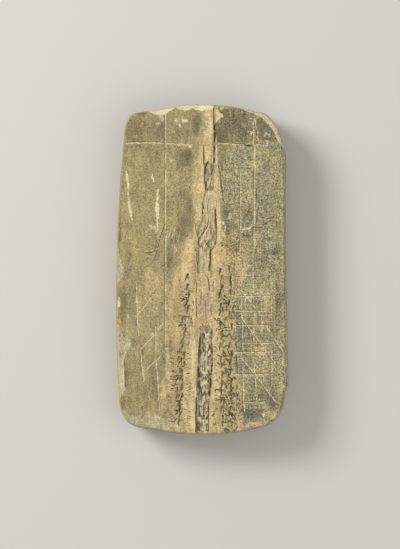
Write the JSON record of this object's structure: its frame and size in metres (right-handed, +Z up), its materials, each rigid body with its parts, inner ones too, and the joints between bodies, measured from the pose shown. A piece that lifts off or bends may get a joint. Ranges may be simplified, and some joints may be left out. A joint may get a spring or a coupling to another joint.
{
  "type": "cuneiform tablet",
  "caption": "Flat stone tablet with rounded corners, a channel down the middle of its face, columns of shallow incised strokes beside it and scored ruling lines.",
  "frame": {"origin": "middle of the tablet's outline, on the plane that its back rests on", "axes": "+Z up out of the written face, +Y to the head of the text, +X to the reader's right"},
  "size_m": [0.0678, 0.13, 0.0223],
  "materials": {
    "stone": "fine-grained buff stone with a thin olive to grey-green patina, worn paler at edges and chips"
  },
  "bodies": {
    "root": {"tablet": "stone"}
  },
  "joints": []
}
